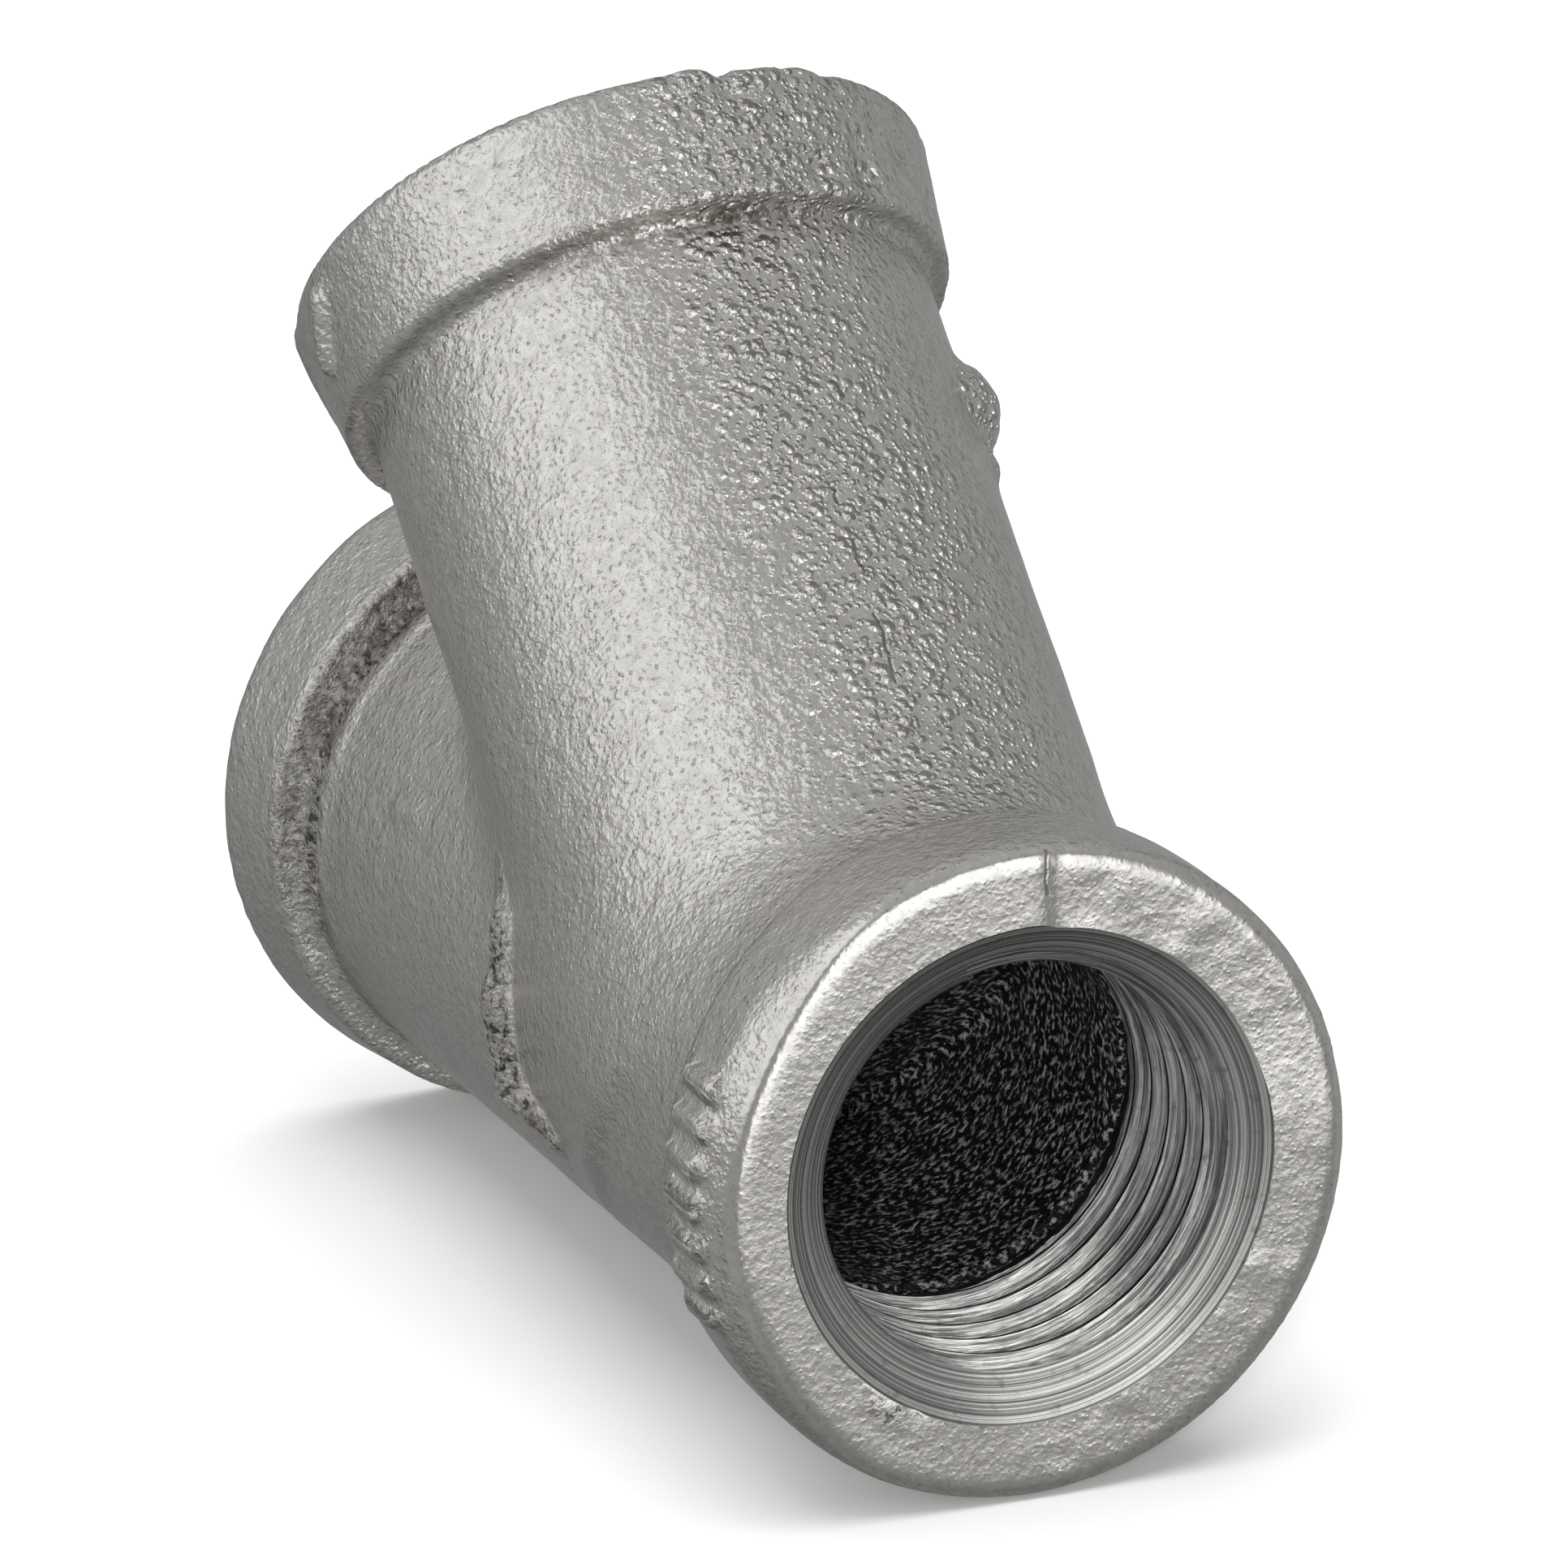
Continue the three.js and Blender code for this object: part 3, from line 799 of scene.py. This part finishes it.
class Nodes:
    """A material's node tree, with a short way to add a node and to link sockets."""

    def __init__(self, name):
        self.material = bpy.data.materials.new(name)
        self.material.use_nodes = True
        self.tree = self.material.node_tree
        self.shader = self.tree.nodes["Principled BSDF"]

    def add(self, kind, inputs=None, **settings):
        node = self.tree.nodes.new("ShaderNode" + kind)
        for key, value in settings.items():
            setattr(node, key, value)
        for key, value in (inputs or {}).items():
            if isinstance(value, bpy.types.NodeSocket):
                self.tree.links.new(value, node.inputs[key])
            else:
                node.inputs[key].default_value = value
        return node

    def place(self, scale=(1, 1, 1), angle=0.0):
        """Places on the piece in millimetres, times scale, turned back by angle about X."""
        coordinates = self.add("TexCoord").outputs["Object"]
        turn = self.add("VectorRotate", {"Vector": coordinates, "Angle": -angle}, rotation_type="X_AXIS")
        in_mm = tuple(1000 * k for k in scale)
        return self.add("VectorMath", {0: turn.outputs[0], 1: in_mm}, operation="MULTIPLY").outputs[0]

    def noise(self, vector, scale, detail=2.0, roughness=0.5, distortion=0.0):
        node = self.add("TexNoise", {"Vector": vector, "Scale": scale, "Detail": detail,
                                     "Roughness": roughness, "Distortion": distortion})
        return node.outputs["Fac"]

    def ramp(self, value, low, high, to_low=0.0, to_high=1.0):
        node = self.add("MapRange", {"Value": value, "From Min": low, "From Max": high,
                                     "To Min": to_low, "To Max": to_high})
        return node.outputs[0]

    def math(self, operation, a, b=0.0):
        return self.add("Math", {0: a, 1: b}, operation=operation).outputs[0]

    def mix(self, share, a, b):
        node = self.add("Mix", data_type="RGBA")
        for key, value in ((0, share), (6, a), (7, b)):
            if isinstance(value, bpy.types.NodeSocket):
                self.tree.links.new(value, node.inputs[key])
            elif key:
                node.inputs[key].default_value = (*value, 1)
            else:
                node.inputs[key].default_value = value
        return node.outputs[2]

    def mix_values(self, share, a, b):
        return self.math("ADD", self.math("MULTIPLY", a, self.math("SUBTRACT", 1.0, share)),
                         self.math("MULTIPLY", share, b))

    def attribute(self, name):
        return self.add("Attribute", attribute_name=name).outputs["Fac"]

    def bump(self, height, distance, strength=1.0):
        inputs = {"Height": height, "Distance": distance * MM, "Strength": strength}
        return self.add("Bump", inputs).outputs[0]

    def cells(self, vector, scale, smoothness):
        """Distance from the nearest of the points scattered one to a cell, from 0 to about 1."""
        node = self.add("TexVoronoi", {"Vector": vector, "Scale": scale, "Smoothness": smoothness},
                        feature="SMOOTH_F1")
        return node.outputs["Distance"]

    def relief(self, layers, strength):
        """A bump from (height, millimetres) pairs added up."""
        total = 0.0
        for height, depth in layers:
            total = self.math("ADD", self.math("MULTIPLY", height, depth), total)
        return self.bump(total, 1.0, strength)

    def wire(self, socket, value):
        self.tree.links.new(value, self.shader.inputs[socket])

    def fixed(self, **values):
        for key, value in values.items():
            self.shader.inputs[key.replace("_", " ")].default_value = value


def zinc_skin():
    """Hot-dip galvanised casting skin: sandy grain, small bright facets, pits, a little brown grime, and
    painted shade in the groove under the branch band and round the bars' edges.
    """
    n = Nodes("galvanised_skin")
    place = n.place()
    fine = n.noise(place, 4.0, 3, 0.6)
    grain = n.noise(place, 1.6, 3, 0.6, 0.4)
    swell = n.noise(place, 0.8, 2, 0.5)
    broad = n.noise(place, 0.16, 3, 0.55)
    facets = n.cells(place, 3.2, 0.35)
    pimples = n.math("MAXIMUM", n.ramp(n.cells(place, 1.25, 0.1), 0.42, 0.08),
                     n.math("MULTIPLY", n.ramp(n.cells(place, 2.4, 0.1), 0.44, 0.08), 0.6))
    crumbs = n.noise(place, 2.2, 4, 0.68, 0.4)
    grains = n.ramp(n.cells(place, 2.8, 0.05), 0.32, 0.06)
    coarse = n.attribute("coarse")
    dirt_and_shade = n.attribute("dirt_and_shade")
    rough = n.attribute("rough")

    pale, grey = (0.74, 0.725, 0.69), (0.64, 0.625, 0.595)
    dark, brown = (0.25, 0.24, 0.22), (0.07, 0.045, 0.03)
    colour = n.mix(n.ramp(grain, 0.38, 0.62), grey, pale)
    colour = n.mix(n.ramp(broad, 0.35, 0.7, 0.0, 0.3), colour, grey)
    pits = n.math("MULTIPLY", n.ramp(fine, 0.42, 0.28), 0.55)
    colour = n.mix(pits, colour, dark)
    x = n.add("SeparateXYZ", {0: place}).outputs[0]
    wander = n.ramp(n.noise(place, 0.5, 4), 0.0, 1.0, -0.5, 0.5)
    off_seam = n.math("ABSOLUTE", n.math("SUBTRACT", n.math("ADD", x, wander), SEAM_X))
    where = n.attribute("seam")
    broken = n.math("ADD", n.noise(place, 0.6, 3), n.math("MULTIPLY", where, 0.6))
    seam = n.math("MULTIPLY", n.ramp(off_seam, 0.13, 0.03), n.ramp(broken, 0.84, 0.94))
    colour = n.mix(n.math("MULTIPLY", seam, 0.75), colour, dark)
    # Darkens the torn skin, which is real, and the bars' edges, which is painted shade.
    colour = n.mix(n.math("MULTIPLY", rough, n.ramp(crumbs, 0.50, 0.40)), colour, (0.09, 0.085, 0.075))
    # Brown grime in the torn places, and painted shade in the groove under the branch band.
    stain_and_shade = n.math("MULTIPLY", dirt_and_shade, n.ramp(n.noise(place, 1.7, 3), 0.42, 0.54))
    colour = n.mix(stain_and_shade, colour, brown)
    n.wire("Base Color", colour)

    smooth = n.math("SUBTRACT", n.ramp(grain, 0.3, 0.7, 0.27, 0.19), n.math("MULTIPLY", coarse, 0.04))
    n.wire("Roughness", n.mix_values(stain_and_shade, smooth, 0.5))
    n.wire("Metallic", n.ramp(stain_and_shade, 0.2, 0.8, 1.0, 0.6))
    layers = ((fine, 0.055), (facets, 0.036), (grain, 0.085), (grains, 0.032), (swell, 0.08), (seam, -0.12),
              (n.math("MULTIPLY", coarse, grains), 0.06), (n.math("MULTIPLY", coarse, pimples), 0.32),
              (n.math("MULTIPLY", coarse, crumbs), 0.05), (n.math("MULTIPLY", rough, crumbs), 0.6))
    y = n.add("SeparateXYZ", {0: place}).outputs[1]
    face = n.ramp(y, 0.3 - INLET_REACH, 0.6 - INLET_REACH, FACE_RELIEF, 1.0)
    n.wire("Normal", n.relief(layers, face))
    return n.material


def machined(name, colour, roughness, angle, lines=6.0, depth=0.03, painted_root_shade=None):
    """Turned metal: fine uneven lines round the axis that lies at angle above Y. The last argument holds
    the radius beyond which, and the heights between which, the roots of a thread are darkened in patches as
    painted shade."""
    n = Nodes(name)
    place = n.place(angle=angle)
    parts = n.add("SeparateXYZ", {0: place})
    x, z = parts.outputs[0], parts.outputs[2]
    radial = n.math("SQRT", n.math("ADD", n.math("MULTIPLY", x, x), n.math("MULTIPLY", z, z)))
    turning = n.add("CombineXYZ", {0: radial, 1: parts.outputs[1]}).outputs[0]
    rings = n.noise(turning, lines, 3, 0.7)
    spots = n.noise(place, 1.3, 4, 0.6)
    blended = n.mix(n.ramp(rings, 0.41, 0.61), tuple(0.25 * c for c in colour), colour)
    shade = n.ramp(spots, 0.60, 0.74, 0, 0.5)
    if painted_root_shade:
        radius, low, high = painted_root_shade
        # Painted shade: the thread's roots are darkened in patches.
        roots = n.ramp(radial, radius, radius + 0.6)
        height = parts.outputs[1]
        inside = n.math("MULTIPLY", n.ramp(height, low, low + 0.3), n.ramp(height, high, high - 0.3))
        patches = n.ramp(n.noise(place, 0.5, 3, 0.6), 0.30, 0.55)
        roots = n.math("MULTIPLY", n.math("MULTIPLY", roots, inside), patches)
        shade = n.math("MAXIMUM", shade, roots)
    blended = n.mix(shade, blended, tuple(0.11 * c for c in colour))
    n.wire("Base Color", blended)
    n.wire("Roughness", n.ramp(spots, 0.3, 0.7, roughness, roughness + 0.15))
    n.fixed(Metallic=1.0)
    n.wire("Normal", n.bump(rings, depth, 1.0))
    return n.material


def black_wall_painted_glints():
    """The dark varnished wall inside the casting, with an orange-peel surface whose high spots are coloured
    pale grey as painted glints.
    """
    n = Nodes("black_wall_painted_glints")
    place = n.place()
    peel = n.noise(place, 3.2, 2, 0.5)
    # Painted glints: the peel's high spots are coloured pale grey.
    n.wire("Base Color", n.mix(n.ramp(peel, 0.50, 0.67), (0.009, 0.009, 0.009), (0.47, 0.466, 0.462)))
    n.wire("Roughness", n.ramp(n.noise(place, 0.7, 2), 0.3, 0.7, 0.24, 0.36))
    n.wire("Normal", n.bump(peel, 0.45, 1.0))
    return n.material


def drawn_steel():
    n = Nodes("drawn_steel")
    place = n.place(scale=(1, 1, 1), angle=BRANCH_ANGLE)
    grain = n.noise(place, 6.0, 2)
    n.wire("Base Color", n.mix(grain, (0.46, 0.46, 0.47), (0.70, 0.70, 0.71)))
    n.wire("Roughness", n.ramp(grain, 0.3, 0.7, 0.22, 0.36))
    n.fixed(Metallic=1.0)
    n.wire("Normal", n.bump(grain, 0.01, 0.6))
    return n.material


def pressed_fibre():
    n = Nodes("pressed_fibre")
    place = n.place()
    strands = n.noise(place, 4.0, 4, 0.7)
    n.wire("Base Color", n.mix(n.ramp(strands, 0.35, 0.65), (0.20, 0.05, 0.03), (0.42, 0.13, 0.08)))
    n.wire("Roughness", n.ramp(strands, 0.3, 0.7, 0.75, 0.9))
    n.wire("Normal", n.bump(strands, 0.05, 0.8))
    return n.material


def black_rubber():
    n = Nodes("black_rubber")
    place = n.place()
    grain = n.noise(place, 5.0, 3, 0.6)
    n.wire("Base Color", n.mix(grain, (0.012, 0.012, 0.013), (0.035, 0.034, 0.034)))
    n.wire("Roughness", n.ramp(grain, 0.3, 0.7, 0.5, 0.7))
    n.wire("Normal", n.bump(grain, 0.02, 0.5))
    return n.material


# ---------------------------------------------------------------- assembly

def show(obj, body, slot, *nodes, material=None):
    if material:
        obj.data.materials.clear()
        obj.data.materials.append(material)
    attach(obj, body)
    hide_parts(*nodes)


bright = (0.78, 0.77, 0.75)
zinc_plate = (0.62, 0.61, 0.58)
brass = (0.74, 0.53, 0.24)
steel = drawn_steel()
# The radius and heights of the painted shade in the socket threads' roots.
thread_heights = (9.9, SOCKET_THREAD_START - INLET_REACH, OUTLET_REACH - SOCKET_THREAD_START)
casting = body_casting([
    zinc_skin(), machined("machined_run", bright, 0.13, 0.0, depth=0.05, painted_root_shade=thread_heights),
    black_wall_painted_glints(), machined("machined_branch", bright, 0.2, BRANCH_ANGLE),
])
show(casting, "casting", "casting", "body")
show(lean(perforated_tube("screen_sheet", 7.4, 0.5, 7.8, 32.8, 22, 11, 0.72)),
     "screen", "screen_steel", "screen_tube", material=steel)
show(lean(wire_sleeve("screen_wires", 6.69, 7.85, 32.75, 0.055, 72, 42)),
     "screen", "screen_steel", "screen_mesh", material=steel)
show(lean(ferrule("screen_seat_ferrule", 8.3, 7.8, 1)),
     "screen", "screen_steel", "screen_seat_ring", material=steel)
show(lean(ferrule("screen_top_ferrule", 7.85, 32.8, -1)),
     "screen", "screen_steel", "screen_top_ring", material=steel)
show(lean(flat_ring("fibre_gasket", 10.75, 11.7, 40.35, 41.15, 0.1)),
     "screen", "gasket", "retainer_gasket", material=pressed_fibre())
show(lean(retainer()), "cover", "plated_iron", "retainer",
     material=machined("plated_retainer", zinc_plate, 0.3, BRANCH_ANGLE, 4.0, 0.02))
show(lean(flat_ring("rubber_seal", 6.85, 7.5, 40.95, 41.55, 0.12)),
     "seal", "seal_rubber", "blow_off_seal", material=black_rubber())
show(lean(blow_off_plug()), "plug", "plug_brass", "blow_off_plug",
     material=machined("turned_brass", brass, 0.25, BRANCH_ANGLE, 4.0, 0.02))


# ---------------------------------------------------------------- floor, lights and camera

def floor():
    """A pale floor. The metal doesn't mirror it, so that the soft world alone shades the undersides."""
    size = 3.0
    low = cad_box[0].z
    mesh = bpy.data.meshes.new("floor")
    mesh.from_pydata([(-size, -size, low), (size, -size, low), (size, size, low), (-size, size, low)], [],
                     [(0, 1, 2, 3)])
    obj = bpy.data.objects.new("floor", mesh)
    bpy.context.scene.collection.objects.link(obj)
    obj.visible_glossy = False
    n = Nodes("floor_paper")
    n.fixed(Base_Color=(0.9, 0.9, 0.9, 1), Roughness=1.0)
    n.shader.inputs["Specular IOR Level"].default_value = 0
    mesh.materials.append(n.material)


def soft_box(name, direction, distance, size, radiance):
    """A rectangular lamp that faces the object from a direction, as bright as radiance all over."""
    light = bpy.data.lights.new(name, "AREA")
    light.shape = "RECTANGLE"
    light.size, light.size_y = size
    light.energy = radiance * math.pi * size[0] * size[1]
    obj = bpy.data.objects.new(name, light)
    bpy.context.scene.collection.objects.link(obj)
    direction = Vector(direction).normalized()
    obj.location = Vector((0, 0.012, 0.01)) + direction * distance
    obj.rotation_mode = "QUATERNION"
    obj.rotation_quaternion = direction.to_track_quat("Z", "Y")
    return obj


def lights():
    soft_box("key", (-0.83, -0.08, 0.54), 0.9, (1.15, 1.05), 0.64)
    soft_box("front", (0.14, -0.97, 0.17), 1.0, (0.90, 1.05), 1.35)
    matt_only = [soft_box("overhead", (0, 0, 1), 2.0, (2.4, 2.4), 2.5),
                 soft_box("mouth", (-0.42, -0.88, 0.33), 1.1, (0.12, 0.12), 90.0)]
    for lamp in matt_only:
        lamp.visible_glossy = False
    world = bpy.data.worlds.new("studio")
    world.use_nodes = True
    tree = world.node_tree
    direction = tree.nodes.new("ShaderNodeTexCoord").outputs["Generated"]
    strength = WORLD_LEVEL
    for centre, near, far, gain in WORLD_PATCHES:
        towards = tree.nodes.new("ShaderNodeVectorMath")
        towards.operation = "DOT_PRODUCT"
        tree.links.new(direction, towards.inputs[0])
        towards.inputs[1].default_value = Vector(centre).normalized()
        patch = tree.nodes.new("ShaderNodeMapRange")
        patch.interpolation_type = "SMOOTHSTEP"
        settings = {"From Min": math.cos(math.radians(far)), "From Max": math.cos(math.radians(near)),
                    "To Min": 0.0, "To Max": gain}
        for key, value in settings.items():
            patch.inputs[key].default_value = value
        tree.links.new(towards.outputs["Value"], patch.inputs["Value"])
        total = tree.nodes.new("ShaderNodeMath")
        tree.links.new(patch.outputs[0], total.inputs[0])
        if isinstance(strength, float):
            total.inputs[1].default_value = strength
        else:
            tree.links.new(strength, total.inputs[1])
        strength = total.outputs[0]
    tree.links.new(strength, tree.nodes["Background"].inputs["Strength"])
    tree.nodes["Background"].inputs["Color"].default_value = (1, 1, 1, 1)
    bpy.context.scene.world = world
    bpy.context.scene.view_settings.view_transform = "Standard"


def camera():
    forward = Vector((0.3579, 0.8724, -0.3329)).normalized()
    right = Vector((0.9241, -0.3822, -0.0082))
    right = (right - forward * right.dot(forward)).normalized()
    up = right.cross(forward)
    data = bpy.data.cameras.new("camera")
    data.sensor_width = 36
    data.lens = 458.5
    data.clip_start, data.clip_end = 0.05, 20
    obj = bpy.data.objects.new("camera", data)
    bpy.context.scene.collection.objects.link(obj)
    obj.matrix_world = Matrix((
        (right.x, up.x, -forward.x, -0.3255),
        (right.y, up.y, -forward.y, -0.7823),
        (right.z, up.z, -forward.z, 0.3120),
        (0, 0, 0, 1),
    ))
    bpy.context.scene.camera = obj


floor()
lights()
camera()
